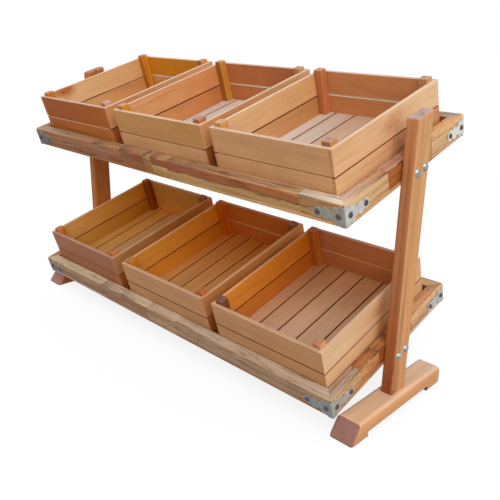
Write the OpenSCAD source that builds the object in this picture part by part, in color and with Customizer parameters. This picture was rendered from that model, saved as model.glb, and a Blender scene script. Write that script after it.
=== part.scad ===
// Two-tier display stand with six loose crates, in millimetres.
// X runs along the trays, the front is towards -Y, and the feet stand on Z = 0.
// The origin is on the floor, below the middle of the trays.

/* [Trays] */
// Length along a tray that the gaps beside its three crates share
tray_play = 82; // [10:2:200]
// Depth left free behind the crates
tray_slack = 15.5; // [4:0.5:60]
// Height of the tray side, base board included
tray_h = 44; // [40:1:55]
// Slope of the trays, low at the front
tray_tilt = 17; // [8:1:20]
// Thickness of the rails, seen from above
rail_t = 24; // [20:1:30]
// Thickness of the base board under the rails
base_t = 8; // [6:0.5:10]
// Radius of the tray's upright outer corners
tray_corner_r = 3; // [2:0.5:5]
// Clearance between the feet and the front edge of the lower tray
foot_clearance = 9.5; // [2:0.5:60]
// Height from the middle of the lower tray to the middle of the upper tray
tier_rise = 360; // [345:5:420]

/* [Posts and feet] */
// Thickness of a side post along X
post_t = 26; // [20:1:32]
// Width of a side post along Y
post_w = 51; // [44:1:60]
// Radius of the post's long edges
post_r = 5; // [2:0.5:8]
// How far the middle of the posts stands in front of the middle of the trays
post_shift = 7; // [0:1:20]
// How far the right post's sloped top end reaches above the middle of the upper tray
post_rise = 98; // [80:1:160]
// How much taller the left post is, as photographed
left_post_extra = 11; // [0:1:30]
// Width of a foot along X
foot_w = 56; // [44:1:64]
// Height of a foot
foot_h = 38; // [32:1:44]
// How far the foot reaches in front of the post's middle, at the floor
foot_front = 172; // [150:1:200]
// How far the foot reaches behind the post's middle
foot_back = 146; // [130:2:170]
// How far the foot's front end leans out from top to floor
foot_lean = 28; // [0:2:40]
// Height of the arch under the foot
arch_h = 13; // [8:1:14]
// Length of each pad that the foot stands on
pad_len = 50; // [40:2:70]
// Radius of the foot's long top edges
foot_edge_r = 12; // [2:0.5:14]
// Radius of the foot's long bottom edges
foot_bottom_r = 6; // [1:0.5:8]

/* [Crates] */
// Width of a crate along X
crate_w = 290; // [240:2:294]
// Depth of a crate along the tray
crate_d = 336; // [300:2:340]
// Width of the wall slats
slat_w = 50; // [40:1:56]
// Thickness of the wall slats
slat_t = 8; // [6:0.5:10]
// Gap between the two slats of a wall
slat_gap = 2; // [1:0.5:6]
// Side of the square corner posts
corner_post_t = 19; // [14:1:24]
// How far the corner posts stand above the rim
corner_post_rise = 8; // [4:1:14]
// Thickness of the floor boards
floor_t = 10; // [6:0.5:12]
// Width of the four full floor boards
floor_board_w = 49; // [38:1:50]
// Gap between the floor boards
floor_gap = 2.4; // [1.5:0.1:5]
// Height of the runners that a crate stands on
runner_h = 15; // [8:1:18]
// Width of the runners
runner_w = 20; // [14:1:30]
// Clearance between a crate and the front rail it leans on
crate_gap = 0.5; // [0.3:0.1:1.5]
// How the free length of the upper tray is shared out to the left of each crate
upper_share = [0.22, 0.61, 0.92]; // [0.05:0.01:0.95]
// How the free length of the lower tray is shared out to the left of each crate
lower_share = [0.17, 0.63, 0.97]; // [0.05:0.01:0.97]

/* [Corner plates] */
// Thickness of the plate steel
plate_t = 1.2; // [0.8:0.1:2]
// Length of each leg of a plate
plate_leg = 67; // [64:1:72]
// Height of a plate at the corner
plate_h = 38; // [30:1:40]
// Height of the narrow waist of a plate
plate_waist = 16; // [12:0.5:20]
// Distance from the corner to the near screw
plate_screw_near = 13; // [12:0.5:16]
// Distance from the corner to the far screw
plate_screw_far = 57; // [52:0.5:60]

/* [Fasteners] */
// Shank diameter of the corner plate screws
screw_d = 4; // [3:0.1:5]
// Head diameter of the corner plate screws
screw_head_d = 11; // [7:0.5:12]
// Head height of the corner plate screws
screw_head_h = 3.6; // [2:0.1:4]
// Depth of the corner plate screws in the wood
screw_depth = 9.5; // [7:0.5:10]
// Diameter of the carriage bolts
bolt_d = 6; // [5:1:8]
// Head diameter of the carriage bolts
bolt_head_d = 16.5; // [13:0.5:18]
// Head height of the carriage bolts
bolt_head_h = 5; // [2.5:0.1:6]
// Distance between the two bolts of a joint, along the slope
bolt_spacing = 26; // [24:1:30]
// Diameter of the dowels between post and foot
dowel_d = 8; // [6:1:10]
// Shank diameter of the coach screw between post and foot
coach_d = 8; // [6:1:10]
// Radial clearance of screws, bolts and dowels in the wood
fit_gap = 0.1; // [0.05:0.05:0.3]

/* [Hidden] */
$fn = 48;
TIERS = ["upper", "lower"];
CRATES = ["left_crate", "middle_crate", "right_crate"];
CRATE_PARTS = ["front_slats", "back_slats", "side_slats", "corner_posts", "floor_boards", "runners"];
STAND_NODES = [
    "left_post", "right_post", "left_foot", "right_foot",
    "upper_front_rail", "upper_back_rail", "upper_left_rail", "upper_right_rail", "upper_base_board",
    "lower_front_rail", "lower_back_rail", "lower_left_rail", "lower_right_rail", "lower_base_board",
    "upper_corner_plates", "lower_corner_plates", "upper_plate_screws", "lower_plate_screws",
    "carriage_bolts", "bolt_washers", "bolt_nuts",
    "foot_dowels", "coach_screws", "coach_washers"];
CRATE_NODES = [for (t = TIERS) for (c = CRATES) for (p = CRATE_PARTS) str(t, "_", c, "_", p)];

// Wood and metal colours
REDWOOD = [0.66, 0.36, 0.2];
STAVE = [0.72, 0.52, 0.33];
STRIP = [0.8, 0.6, 0.34];
TAN = [0.76, 0.52, 0.32];
ORANGE = [0.78, 0.44, 0.2];
AMBER = [0.74, 0.42, 0.14];
PINKISH = [0.7, 0.5, 0.4];
ZINC = [0.75, 0.77, 0.8];
DARK_STEEL = [0.28, 0.2, 0.22];

// A small overlap that makes cuts run clean through a face
cut = 1;

// Outer size of a tray: along X, and along its slope
tray_w = 3 * crate_w + tray_play + 2 * rail_t;
tray_d = crate_gap + crate_d + tray_slack + 2 * rail_t;
rail_h = tray_h - base_t;
// Height of the middle of the lower tray above the floor
lower_z = foot_h + foot_clearance + tray_d / 2 * sin(tray_tilt) + tray_h / 2 * cos(tray_tilt);
// Where the posts' middle crosses the trays, along their slope
post_v = tray_d / 2 - post_shift / cos(tray_tilt);
// Heights in a crate, above its runners' underside
crate_floor_z = runner_h + floor_t;
crate_rim_z = runner_h + 2 * slat_w + slat_gap;
// The narrow boards at both edges of a crate floor take what the full boards leave
floor_boards_full = 4;
floor_pitch = floor_board_w + floor_gap;
edge_board_w = (crate_w - 2 * slat_t - floor_boards_full * floor_pitch - floor_gap) / 2;

// Room left at the end of a blind hole and over a sunk head or nut
hole_room = 1;
// Diameter of a hole for a shank
function hole(d) = d + 2 * fit_gap;
// A hexagon's width over its corners, from its width over its flats
function over_corners(flats) = flats * 2 / sqrt(3);

// Bolts reach from the outer face of the post to just short of the rail's inner face
bolt_len = post_t + rail_t - hole_room;
bolt_neck = 4;
// Washers and nuts in the usual proportions to the bolt
washer_t = 1.6;
washer_d = 2 * bolt_d;
nut_t = 0.8 * bolt_d;
nut_wall = 2;
nut_flats = bolt_d + 2 * nut_wall;
recess_wall = 2;
nut_recess_d = washer_d + 2 * recess_wall;
nut_recess = washer_t + nut_t + hole_room;

// Coach screws and dowels between foot and post
coach_head_h = 5.5;
coach_head_flats = 13;
coach_washer_t = 2;
coach_washer_d = 22;
coach_recess_d = coach_washer_d + recess_wall;
coach_recess = coach_head_h + coach_washer_t + hole_room;
coach_len = 66;
coach_tip_d = 1;
dowel_len = 32;
dowel_in_foot = 13;
dowel_to_edge = 9;
dowel_spacing = post_w - 2 * dowel_to_edge;

// Corner plates stand a little above the tray's underside; their screws are at mid height
plate_lift = 1;
plate_screw_w = plate_lift + plate_h / 2;
// Scalloped outline of a leg: an ear at the corner, a notch, a shoulder, a waist, a knuckle and a
// tip round the far screw
plate_ear = 11;
plate_notch = 5;
plate_shoulder_x = 19;
plate_shoulder_r = 6;
plate_shoulder_step = 2;
plate_knuckle_x = 41;
plate_knuckle_y = 6;
plate_knuckle_r = 6.5;
// Points of the plate screws
screw_point = 3;
screw_tip_d = 0.6;

// The foot's small rounds
pad_r = 3;
foot_back_r = 10;
post_x = tray_w / 2;

// Puts a shape drawn in a tray's own axes in its place: X along the tray from its middle,
// Y up the slope from its front edge, Z square to it from its underside
module in_tray(tier) {
    translate([0, 0, tier == "upper" ? lower_z + tier_rise : lower_z]) rotate([tray_tilt, 0, 0])
        translate([0, -tray_d / 2, -tray_h / 2]) children();
}

// A bar of length len between two mitred ends, its outer edge on the X axis
module mitred_outline(len, depth) {
    polygon([[-len / 2, 0], [len / 2, 0], [len / 2 - depth, depth], [-len / 2 + depth, depth]]);
}

module rounded_outline(x, y, r) {
    union() {
        translate([r, 0]) square([x - 2 * r, y]);
        translate([0, r]) square([x, y - 2 * r]);
        for (cx = [r, x - r], cy = [r, y - r]) translate([cx, cy]) circle(r);
    }
}

module tray_outline() {
    translate([-tray_w / 2, 0]) rounded_outline(tray_w, tray_d, tray_corner_r);
}

// Pilot holes for the corner plate screws of a whole tray
module plate_screw_places() {
    for (mx = [0, 1], my = [0, 1])
        translate([0, my * tray_d, plate_screw_w]) mirror([0, my, 0]) mirror([mx, 0, 0])
            for (s = [plate_screw_near, plate_screw_far]) {
                translate([tray_w / 2 - s, 0, 0]) rotate([-90, 0, 0]) children();
                translate([tray_w / 2, s, 0]) rotate([0, -90, 0]) children();
            }
}

module plate_screw_pilots() {
    plate_screw_places() translate([0, 0, -cut])
        cylinder(h = screw_depth + hole_room + cut, d = hole(screw_d));
}

// The two bolt lines of every joint of one tray with one post; children point inward along -X
module bolt_places(tier, side) {
    in_tray(tier) for (s = [-1, 1])
        translate([side * post_x, post_v + s * bolt_spacing / 2, tray_h / 2])
            rotate([0, -side * 90, 0]) children();
}

// A rail of length len, mitred at both ends, with the middle of its outer edge at the given place
module rail_bar(len, place, turn) {
    intersection() {
        linear_extrude(rail_h) tray_outline();
        translate(place) rotate([0, 0, turn]) linear_extrude(rail_h) mitred_outline(len, rail_t);
    }
}

module end_rail(tier, back) {
    color(STAVE) in_tray(tier) difference() {
        translate([0, 0, base_t]) rail_bar(tray_w, [0, back ? tray_d : 0, 0], back ? 180 : 0);
        plate_screw_pilots();
    }
}

module side_rail(tier, side) {
    color(STAVE) difference() {
        in_tray(tier) difference() {
            translate([0, 0, base_t]) rail_bar(tray_d, [side * tray_w / 2, tray_d / 2, 0], side * 90);
            plate_screw_pilots();
        }
        bolt_places(tier, side) {
            translate([0, 0, -cut]) cylinder(h = rail_t + 2 * cut, d = hole(bolt_d));
            translate([0, 0, rail_t - nut_recess]) cylinder(h = nut_recess + cut, d = nut_recess_d);
        }
    }
}

module base_board(tier) {
    color(STRIP) in_tray(tier) linear_extrude(base_t) tray_outline();
}

// Outline of one leg of a corner plate: X away from the corner, Y up from the screw line
module plate_leg_outline() {
    notch_y = plate_h / 2 - plate_notch;
    shoulder_y = plate_h / 2 - plate_shoulder_step - plate_shoulder_r;
    union() {
        translate([0, -plate_h / 2]) square([plate_ear, plate_h]);
        translate([0, -notch_y]) square([plate_shoulder_x, 2 * notch_y]);
        translate([0, -plate_waist / 2]) square([plate_screw_far, plate_waist]);
        for (m = [-1, 1]) {
            translate([plate_shoulder_x, m * shoulder_y]) circle(plate_shoulder_r);
            translate([plate_knuckle_x, m * plate_knuckle_y]) circle(plate_knuckle_r);
        }
        translate([plate_screw_far, 0]) circle(plate_leg - plate_screw_far);
    }
}

// One flat leg, drilled, standing on the rail's face: its outer face is at -Y
module plate_leg_solid() {
    rotate([90, 0, 0]) linear_extrude(plate_t) difference() {
        intersection() {
            plate_leg_outline();
            translate([tray_corner_r, -plate_h]) square([plate_leg, 2 * plate_h]);
        }
        for (s = [plate_screw_near, plate_screw_far]) translate([s, 0]) circle(d = hole(screw_d));
    }
}

// A plate bent round the corner at the origin, with its legs along +X and +Y
module corner_plate() {
    union() {
        plate_leg_solid();
        mirror([1, -1, 0]) plate_leg_solid();
        translate([tray_corner_r, tray_corner_r, -plate_h / 2]) linear_extrude(plate_h) intersection() {
            difference() {
                circle(tray_corner_r + plate_t);
                circle(tray_corner_r);
            }
            translate([-2 * tray_corner_r, -2 * tray_corner_r]) square(2 * tray_corner_r);
        }
    }
}

module corner_plates(tier) {
    color(ZINC) in_tray(tier) for (mx = [0, 1], my = [0, 1])
        translate([(mx ? 1 : -1) * tray_w / 2, my * tray_d, plate_screw_w])
            mirror([mx, 0, 0]) mirror([0, my, 0]) corner_plate();
}

// A ball cut to a dome of diameter d and height h, standing on the XY plane and pointing to -Z
module dome(d, h) {
    r = (d * d / 4 + h * h) / (2 * h);
    rotate([180, 0, 0]) rotate_extrude() intersection() {
        translate([0, h - r]) circle(r);
        square([d / 2, h]);
    }
}

// A round-head wood screw that points along +Z, with the plate's outer face at Z = -plate_t
module plate_screw() {
    translate([0, 0, -plate_t]) {
        dome(screw_head_d, screw_head_h);
        shank = screw_depth + plate_t - screw_point;
        cylinder(h = shank, d = screw_d);
        translate([0, 0, shank]) cylinder(h = screw_point, d1 = screw_d, d2 = screw_tip_d);
    }
}

module plate_screws(tier) {
    color(DARK_STEEL) in_tray(tier) plate_screw_places() plate_screw();
}

// A carriage bolt that points along +Z from the post's outer face
module carriage_bolt() {
    dome(bolt_head_d, bolt_head_h);
    translate([-bolt_d / 2, -bolt_d / 2, 0]) cube([bolt_d, bolt_d, bolt_neck]);
    cylinder(h = bolt_len, d = bolt_d);
}

module all_bolt_places() {
    for (tier = TIERS, side = [-1, 1]) bolt_places(tier, side) children();
}

module carriage_bolts() {
    color(ZINC) all_bolt_places() translate([0, 0, -post_t]) carriage_bolt();
}

module bolt_washers() {
    color(ZINC) all_bolt_places() translate([0, 0, rail_t - nut_recess]) difference() {
        cylinder(h = washer_t, d = washer_d);
        translate([0, 0, -cut]) cylinder(h = washer_t + 2 * cut, d = hole(bolt_d));
    }
}

module bolt_nuts() {
    color(ZINC) all_bolt_places() translate([0, 0, rail_t - nut_recess + washer_t]) difference() {
        cylinder(h = nut_t, d = over_corners(nut_flats), $fn = 6);
        translate([0, 0, -cut]) cylinder(h = nut_t + 2 * cut, d = bolt_d);
    }
}

// Children stand on the foot's top, at the middle of the post
module at_post(side) {
    translate([side * (post_x + post_t / 2), -post_shift, foot_h]) children();
}

module dowel_places() {
    for (s = [-1, 1]) translate([0, s * dowel_spacing / 2, -dowel_in_foot]) children();
}

module foot_fixing_holes() {
    dowel_places() translate([0, 0, -hole_room]) cylinder(h = dowel_len + 2 * hole_room, d = hole(dowel_d));
    translate([0, 0, arch_h - foot_h]) cylinder(h = coach_len + coach_recess, d = hole(coach_d));
}

module post(side) {
    post_top = lower_z + tier_rise - post_shift * tan(tray_tilt) + post_rise
        + (side < 0 ? left_post_extra : 0);
    color(REDWOOD) difference() {
        at_post(side) difference() {
            translate([-post_t / 2, -post_w / 2, 0])
                linear_extrude(post_top) rounded_outline(post_t, post_w, post_r);
            translate([0, 0, post_top - foot_h]) rotate([tray_tilt, 0, 0])
                translate([-post_t, -post_w, 0]) cube([2 * post_t, 2 * post_w, post_top]);
            foot_fixing_holes();
        }
        for (tier = TIERS) bolt_places(tier, side) translate([0, 0, -post_t - cut]) {
            cylinder(h = post_t + 2 * cut, d = hole(bolt_d));
            translate([-hole(bolt_d) / 2, -hole(bolt_d) / 2, 0])
                cube([hole(bolt_d), hole(bolt_d), bolt_neck + cut]);
        }
    }
}

// Side view of a foot, X from front to back and Y up
module foot_side() {
    arch_from = -foot_front + pad_len;
    arch_to = foot_back - pad_len;
    difference() {
        union() {
            difference() {
                polygon([
                    [-foot_front, 0], [foot_back, 0],
                    [foot_back, foot_h], [foot_lean - foot_front, foot_h]]);
                translate([foot_back - foot_back_r, -cut]) square([foot_back_r + cut, foot_back_r + cut]);
            }
            intersection() {
                translate([foot_back - foot_back_r, foot_back_r]) circle(foot_back_r);
                translate([foot_back - foot_back_r, 0]) square(foot_back_r);
            }
        }
        translate([arch_from, -cut]) square([arch_to - arch_from, arch_h - pad_r + cut]);
        translate([arch_from + pad_r, 0]) square([arch_to - arch_from - 2 * pad_r, arch_h]);
        for (x = [arch_from + pad_r, arch_to - pad_r]) translate([x, arch_h - pad_r]) circle(pad_r);
    }
}

// End view of a foot: a rectangle with rounded corners, larger ones on top
module foot_end() {
    straight_h = foot_h - foot_edge_r - foot_bottom_r;
    union() {
        translate([-foot_w / 2, foot_bottom_r]) square([foot_w, straight_h]);
        translate([foot_edge_r - foot_w / 2, foot_bottom_r])
            square([foot_w - 2 * foot_edge_r, foot_h - foot_bottom_r]);
        translate([foot_bottom_r - foot_w / 2, 0]) square([foot_w - 2 * foot_bottom_r, foot_bottom_r]);
        for (m = [-1, 1]) {
            translate([m * (foot_w / 2 - foot_edge_r), foot_h - foot_edge_r]) circle(foot_edge_r);
            translate([m * (foot_w / 2 - foot_bottom_r), foot_bottom_r]) circle(foot_bottom_r);
        }
    }
}

module foot(side) {
    color(TAN) at_post(side) difference() {
        translate([0, 0, -foot_h]) intersection() {
            translate([-foot_w / 2, 0, 0]) rotate([90, 0, 90]) linear_extrude(foot_w) foot_side();
            translate([0, foot_back + cut, 0]) rotate([90, 0, 0])
                linear_extrude(foot_front + foot_back + 2 * cut) foot_end();
        }
        foot_fixing_holes();
        translate([0, 0, arch_h - foot_h - cut]) cylinder(h = coach_recess + cut, d = coach_recess_d);
    }
}

module foot_dowels() {
    color(TAN) for (side = [-1, 1]) at_post(side) dowel_places() cylinder(h = dowel_len, d = dowel_d);
}

// The coach screw's head sits on its washer, up in the recess under the foot
module coach_screw_place(side) {
    at_post(side) translate([0, 0, arch_h - foot_h + coach_recess]) children();
}

module coach_screws() {
    color(ZINC) for (side = [-1, 1]) coach_screw_place(side) {
        translate([0, 0, -coach_washer_t - coach_head_h])
            cylinder(h = coach_head_h, d = over_corners(coach_head_flats), $fn = 6);
        translate([0, 0, -coach_washer_t]) cylinder(h = coach_len - coach_d, d = coach_d);
        translate([0, 0, coach_len - coach_d - coach_washer_t])
            cylinder(h = coach_d, d1 = coach_d, d2 = coach_tip_d);
    }
}

module coach_washers() {
    color(ZINC) for (side = [-1, 1]) coach_screw_place(side) difference() {
        translate([0, 0, -coach_washer_t]) cylinder(h = coach_washer_t, d = coach_washer_d);
        translate([0, 0, -coach_washer_t - cut])
            cylinder(h = coach_washer_t + 2 * cut, d = hole(coach_d));
    }
}

// Puts a crate, drawn with its front left bottom corner at the origin, in its tray
module in_crate(tier, place) {
    share = (tier == "upper" ? upper_share : lower_share)[place];
    x = rail_t - tray_w / 2 + place * crate_w + share * tray_play;
    in_tray(tier) translate([x, rail_t + crate_gap, base_t]) children();
}

module slat_pair(size) {
    for (k = [0, 1]) translate([0, 0, runner_h + k * (slat_w + slat_gap)]) cube([size[0], size[1], slat_w]);
}

module front_slats() {
    color(TAN) translate([slat_t, 0, 0]) slat_pair([crate_w - 2 * slat_t, slat_t]);
}

module back_slats() {
    color(ORANGE) translate([slat_t, crate_d - slat_t, 0]) slat_pair([crate_w - 2 * slat_t, slat_t]);
}

module side_slats() {
    color(TAN) for (x = [0, crate_w - slat_t]) translate([x, 0, 0]) slat_pair([slat_t, crate_d]);
}

module corner_posts() {
    far = slat_t + corner_post_t;
    color(AMBER) for (x = [slat_t, crate_w - far], y = [slat_t, crate_d - far])
        translate([x, y, crate_floor_z])
            cube([corner_post_t, corner_post_t, crate_rim_z + corner_post_rise - crate_floor_z]);
}

module floor_board(x, width) {
    translate([x, slat_t, runner_h]) cube([width, crate_d - 2 * slat_t, floor_t]);
}

module floor_boards() {
    first = slat_t + edge_board_w + floor_gap;
    color(PINKISH) {
        floor_board(slat_t, edge_board_w);
        for (k = [0 : floor_boards_full - 1]) floor_board(first + k * floor_pitch, floor_board_w);
        floor_board(crate_w - slat_t - edge_board_w, edge_board_w);
    }
}

module runners() {
    color(TAN) for (y = [0, crate_d - runner_w]) translate([0, y, 0]) cube([crate_w, runner_w, runner_h]);
}

module crate_part(part) {
    if (part == "front_slats") front_slats();
    if (part == "back_slats") back_slats();
    if (part == "side_slats") side_slats();
    if (part == "corner_posts") corner_posts();
    if (part == "floor_boards") floor_boards();
    if (part == "runners") runners();
}

post(-1);  // left_post
post(1);  // right_post
foot(-1);  // left_foot
foot(1);  // right_foot
end_rail("upper", false);  // upper_front_rail
end_rail("upper", true);  // upper_back_rail
side_rail("upper", -1);  // upper_left_rail
side_rail("upper", 1);  // upper_right_rail
base_board("upper");  // upper_base_board
end_rail("lower", false);  // lower_front_rail
end_rail("lower", true);  // lower_back_rail
side_rail("lower", -1);  // lower_left_rail
side_rail("lower", 1);  // lower_right_rail
base_board("lower");  // lower_base_board
corner_plates("upper");  // upper_corner_plates
corner_plates("lower");  // lower_corner_plates
plate_screws("upper");  // upper_plate_screws
plate_screws("lower");  // lower_plate_screws
carriage_bolts();
bolt_washers();
bolt_nuts();
foot_dowels();
coach_screws();
coach_washers();
for (tier = TIERS, place = [0 : 2], part = CRATE_PARTS)
    in_crate(tier, place) crate_part(part);
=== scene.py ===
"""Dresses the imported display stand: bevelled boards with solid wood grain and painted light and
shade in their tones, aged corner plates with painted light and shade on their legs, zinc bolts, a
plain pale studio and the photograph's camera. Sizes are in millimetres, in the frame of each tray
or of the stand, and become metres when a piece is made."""

import math
import random

import bmesh
import bpy
from mathutils import Matrix, Vector


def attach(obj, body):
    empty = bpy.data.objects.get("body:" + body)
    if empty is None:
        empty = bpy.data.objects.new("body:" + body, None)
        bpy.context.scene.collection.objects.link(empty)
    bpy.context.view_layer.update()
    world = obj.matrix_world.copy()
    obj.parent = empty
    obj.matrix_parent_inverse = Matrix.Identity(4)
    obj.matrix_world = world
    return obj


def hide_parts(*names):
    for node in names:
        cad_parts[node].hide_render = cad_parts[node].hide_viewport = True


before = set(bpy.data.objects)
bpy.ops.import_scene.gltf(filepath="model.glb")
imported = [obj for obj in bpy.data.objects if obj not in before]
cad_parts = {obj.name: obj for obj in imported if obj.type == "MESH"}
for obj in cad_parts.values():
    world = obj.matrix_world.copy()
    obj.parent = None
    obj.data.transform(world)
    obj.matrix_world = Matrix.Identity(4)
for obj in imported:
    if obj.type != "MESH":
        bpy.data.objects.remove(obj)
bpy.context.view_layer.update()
MM = 0.001
SEED = 4733

# SIZES, as in the part's source

TRAY_W, TRAY_D, TRAY_H = 1000.0, 400.0, 44.0
BASE_T, RAIL_T = 8.0, 24.0
CORNER_R = 3.0
TILT = math.radians(17)
TIER_RISE, LOWER_Z = 360.0, 127.0126
POST_T, POST_W, POST_R, POST_SHIFT = 26.0, 51.0, 5.0, 7.0
POST_RISE, LEFT_EXTRA = 98.0, 11.0
FOOT_W, FOOT_H, FOOT_FRONT, FOOT_BACK = 56.0, 38.0, 172.0, 146.0
FOOT_LEAN, ARCH_H, PAD_LEN = 28.0, 13.0, 50.0
FOOT_EDGE_R, FOOT_BOTTOM_R, FOOT_BACK_R, PAD_R = 12.0, 6.0, 10.0, 3.0
FOOT_FRONT_SIDE_R, FOOT_BACK_SIDE_R, FOOT_BACK_TOP_R = 6.0, 5.0, 4.0
FOOT_FRONT_TOP_R, FOOT_TOE_R, PAD_BOTTOM_R, ARCH_SIDE_R = 3.0, 5.0, 1.6, 0.8
POST_TOP_R, POST_FOOT_R = 4.5, 0.5
CRATE_W, CRATE_D = 290.0, 336.0
SLAT_W, SLAT_T, SLAT_GAP = 50.0, 8.0, 2.0
CORNER_POST_T, CORNER_POST_RISE = 19.0, 8.0
FLOOR_T, FLOOR_BOARD_W, FLOOR_GAP, FULL_BOARDS = 10.0, 49.0, 2.4, 4
RUNNER_H, RUNNER_W = 15.0, 20.0
CRATE_GAP, TRAY_PLAY = 0.5, 82.0
SHARES = {"upper": (0.22, 0.61, 0.92), "lower": (0.17, 0.63, 0.97)}
PLACES = ("left", "middle", "right")

X, Y, Z = 0, 1, 2


def tray_matrix(tier):
    """From a tray's own millimetres (X along it, Y up its slope, Z square to it) to the world."""
    z = LOWER_Z + (TIER_RISE if tier == "upper" else 0.0)
    return (Matrix.Translation((0, 0, z * MM)) @ Matrix.Rotation(TILT, 4, "X")
            @ Matrix.Translation((0, -TRAY_D / 2 * MM, -TRAY_H / 2 * MM)) @ Matrix.Scale(MM, 4))


STAND_MATRIX = Matrix.Scale(MM, 4)

# WOOD TONES


def linear(rgb):
    """A colour given as 0 to 255, as a picture shows it, in the renderer's linear scale."""
    shares = [v / 255 for v in rgb]
    return tuple(v / 12.92 if v <= 0.04045 else ((v + 0.055) / 1.055) ** 2.4 for v in shares)


TONES = {
    "chalk": (240, 230, 212),
    "blush": (240, 216, 202),
    "cream": (196, 180, 153),
    "oat": (192, 168, 146),
    "light_sand": (232, 198, 170),
    "ash": (219, 200, 184),
    "dove": (181, 157, 142),
    "rose": (203, 157, 138),
    "mauve": (198, 173, 168),
    "sand": (236, 192, 142),
    "pale": (230, 185, 136),
    "almond": (228, 174, 124),
    "wheat": (215, 162, 110),
    "honey": (235, 171, 96),
    "saffron": (232, 160, 70),
    "ginger": (218, 152, 70),
    "straw": (192, 151, 98),
    "olive": (164, 116, 58),
    "amber": (216, 142, 40),
    "ochre": (200, 137, 54),
    "orange": (222, 143, 52),
    "flame": (231, 138, 46),
    "fire": (238, 126, 16),
    "ember": (206, 117, 44),
    "tan": (208, 156, 108),
    "buff": (198, 143, 84),
    "taupe": (192, 142, 97),
    "stone": (194, 160, 124),
    "drift": (180, 143, 106),
    "pecan": (162, 122, 88),
    "clay": (210, 160, 120),
    "milk": (238, 194, 158),
    "peach": (226, 160, 108),
    "coral": (209, 142, 92),
    "copper": (201, 127, 78),
    "sienna": (194, 120, 74),
    "chestnut": (180, 110, 58),
    "hazel": (174, 117, 75),
    "auburn": (163, 92, 52),
    "fawn": (172, 132, 98),
    "russet": (175, 100, 42),
    "rust": (165, 83, 12),
    "brick": (156, 86, 42),
    "cocoa": (158, 100, 66),
    "walnut": (155, 100, 59),
    "bark": (138, 93, 55),
    "plum": (132, 80, 58),
    "deep_shade": (92, 44, 20),
    "umber": (104, 58, 32),
    "wine": (131, 84, 86),
}


def tone(name, lighter=1.0):
    """A named wood tone in linear scale, and if asked lighter or darker by that factor."""
    return tuple(min(1.0, v * lighter) for v in linear(TONES[name]))


def mix(a, b, share):
    """Colour a with that share of colour b in it."""
    return tuple(p + (q - p) * share for p, q in zip(a, b))


def scaled(colour, by):
    """A colour with each channel times its own factor."""
    return tuple(min(1.0, v * f) for v, f in zip(colour, by))


# BOARDS


def placed(name, data):
    """A new object in the scene."""
    obj = bpy.data.objects.new(name, data)
    bpy.context.scene.collection.objects.link(obj)
    return obj


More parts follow.
